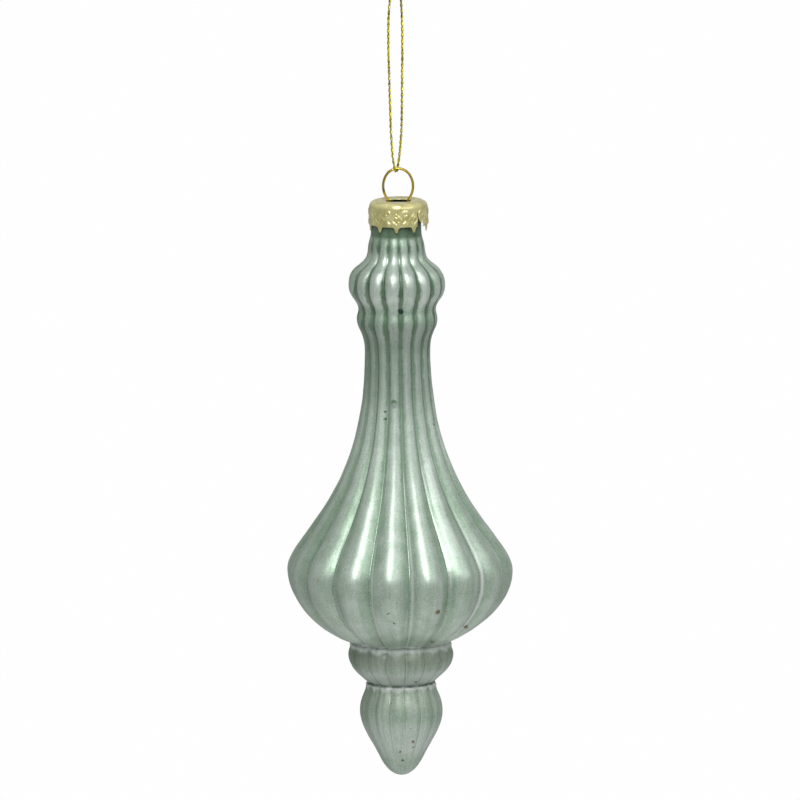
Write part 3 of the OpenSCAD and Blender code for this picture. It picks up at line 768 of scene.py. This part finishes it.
# The silver shines through the coat on the bulb and the belly, under a clear lacquer; the stem is matt
shine = down_the_glass([
    (0, 0.36), (14, 0.58), (21, 0.55), (26, 0.32), (29, 0.28), (32, 0.42), (36, 0.36), (42, 0.16), (56, 0.18),
    (66, 0.24), (76, 0.37), (84, 0.46), (95, 0.46), (110, 0.42), (113, 0.16), (121, 0.12), (126, 0.14),
    (134, 0.3), (144.8, 0.3),
])
lacquer = down_the_glass([
    (0, 0.6), (24, 0.6), (28, 0.3), (36, 0.3), (42, 0.12), (56, 0.12), (70, 0.34), (80, 0.55), (109, 0.5),
    (113, 0.06), (126, 0.06), (134, 0.2), (144.8, 0.2),
])
matt = down_the_glass([(0, 0), (34, 0), (42, 0.14), (56, 0.14), (72, 0), (144.8, 0)])
tree.links.new(lacquer, shader.inputs["Coat Weight"])
dull = work_out(tree, "MAXIMUM", green_and_shade, lip_highlight)
dulled = spread(tree, dull, (0, 1), (shine, 0.15))
rim_highlight_metal = work_out(tree, "MULTIPLY", rim_highlight, 0.55)
tree.links.new(work_out(tree, "MAXIMUM", dulled, rim_highlight_metal), shader.inputs["Metallic"])
satin = spread(tree, from_groove, (0.02, 0.12), (0.3, 0.42))
dusty = work_out(tree, "MULTIPLY_ADD", grain, 0.08, satin)
dusty_matt = work_out(tree, "ADD", dusty, matt)
tree.links.new(work_out(tree, "MULTIPLY_ADD", rim_highlight, 0.22, dusty_matt), shader.inputs["Roughness"])
frost = add_node(tree, "ShaderNodeBump", {"Height": grain, "Strength": 0.2, "Distance": 0.06 * mm})
tree.links.new(frost.outputs["Normal"], shader.inputs["Normal"])
glass.data.materials.append(satin_glass)
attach(glass, "glass")
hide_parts("glass_body")

# Floor and backdrop: one plain white sweep far below and behind the hanging ornament, bent up in a wide
# curve. It shows white to the camera, and in gloss it fades with its distance from the ornament.
floor_size, floor_level, back_height, back_bend = 40, -1.1, 14, 5
sweep_white = (0.86, 0.86, 0.86, 1)
bpy.ops.object.select_all(action="DESELECT")
bpy.ops.mesh.primitive_plane_add(size=floor_size, location=(0, 0, floor_level))
sweep = bpy.context.object
sweep.name = sweep.data.name = "floor_sweep"
bpy.ops.object.mode_set(mode="EDIT")
select_points(sweep, lambda co: co.y > 2)
bpy.ops.mesh.extrude_region_move(TRANSFORM_OT_translate={"value": (0, 0, back_height)})
select_points(sweep, lambda co: co.y > 2 and co.z < 1)
bpy.ops.mesh.bevel(offset=back_bend, segments=12, affect="EDGES")
bpy.ops.object.mode_set(mode="OBJECT")
bpy.ops.object.shade_smooth()
white_sweep, tree, shader = new_finish("white_sweep", base_color=sweep_white, roughness=0.9)
rays = add_node(tree, "ShaderNodeLightPath").outputs
floor_here = on_surface(tree)
floor_way = add_node(tree, "ShaderNodeVectorMath", {0: floor_here}, operation="LENGTH").outputs["Value"]
floor_back = add_node(tree, "ShaderNodeSeparateXYZ", {"Vector": floor_here}).outputs["Y"]
far_level = spread(tree, floor_back, (0, 4), (0.15, 0.24))
floor_near = spread(tree, floor_way, (0.4, 1.7), (1, far_level), smooth=True)
mirrored = work_out(tree, "MAXIMUM", rays["Is Glossy Ray"], rays["Is Transmission Ray"])
mirrored_near = work_out(tree, "MULTIPLY", mirrored, floor_near)
shown = work_out(tree, "MAXIMUM", rays["Is Camera Ray"], mirrored_near)
glow_share = work_out(tree, "MULTIPLY", shown, 0.99)
glow = add_node(tree, "ShaderNodeEmission", {"Color": (1, 1, 1, 1), "Strength": 1})
sweep_light = add_node(tree, "ShaderNodeMixShader", {0: glow_share, 1: shader.outputs[0], 2: glow.outputs[0]})
tree.links.new(sweep_light.outputs[0], tree.nodes["Material Output"].inputs["Surface"])
sweep.data.materials.append(white_sweep)

# Light: a tall soft box in front and above, a broad one high on the right, and a pale room around them
# that the camera sees as plain white.
room_colour, room_level = (0.62, 0.64, 0.63, 1), 0.47
light_aim = Vector((0, 0, -0.13))
world = bpy.context.scene.world or bpy.data.worlds.new("room")
bpy.context.scene.world = world
world.use_nodes = True
tree = world.node_tree
room = tree.nodes["Background"]
room.inputs["Color"].default_value = room_colour
room.inputs["Strength"].default_value = room_level
seen = add_node(tree, "ShaderNodeLightPath").outputs["Is Camera Ray"]
white_behind = add_node(tree, "ShaderNodeBackground", {"Color": (1, 1, 1, 1), "Strength": 1})
room_light = add_node(tree, "ShaderNodeMixShader", {0: seen, 1: room.outputs[0], 2: white_behind.outputs[0]})
tree.links.new(room_light.outputs[0], tree.nodes["World Output"].inputs["Surface"])
for name, box_size, box_stand, power in (
    ("front_box", (0.28, 0.8), (-0.06, -0.68, 0.6), 6.8),
    ("fill_box", (1.2, 0.8), (0.7, -0.75, 0.65), 3.9),
):
    bpy.ops.object.light_add(type="AREA", location=box_stand)
    box = bpy.context.object
    box.name = name
    box.data.shape = "RECTANGLE"
    box.data.size, box.data.size_y = box_size
    box.data.energy = power
    box.rotation_euler = (light_aim - Vector(box_stand)).to_track_quat("-Z", "Y").to_euler()
    box.visible_camera = False
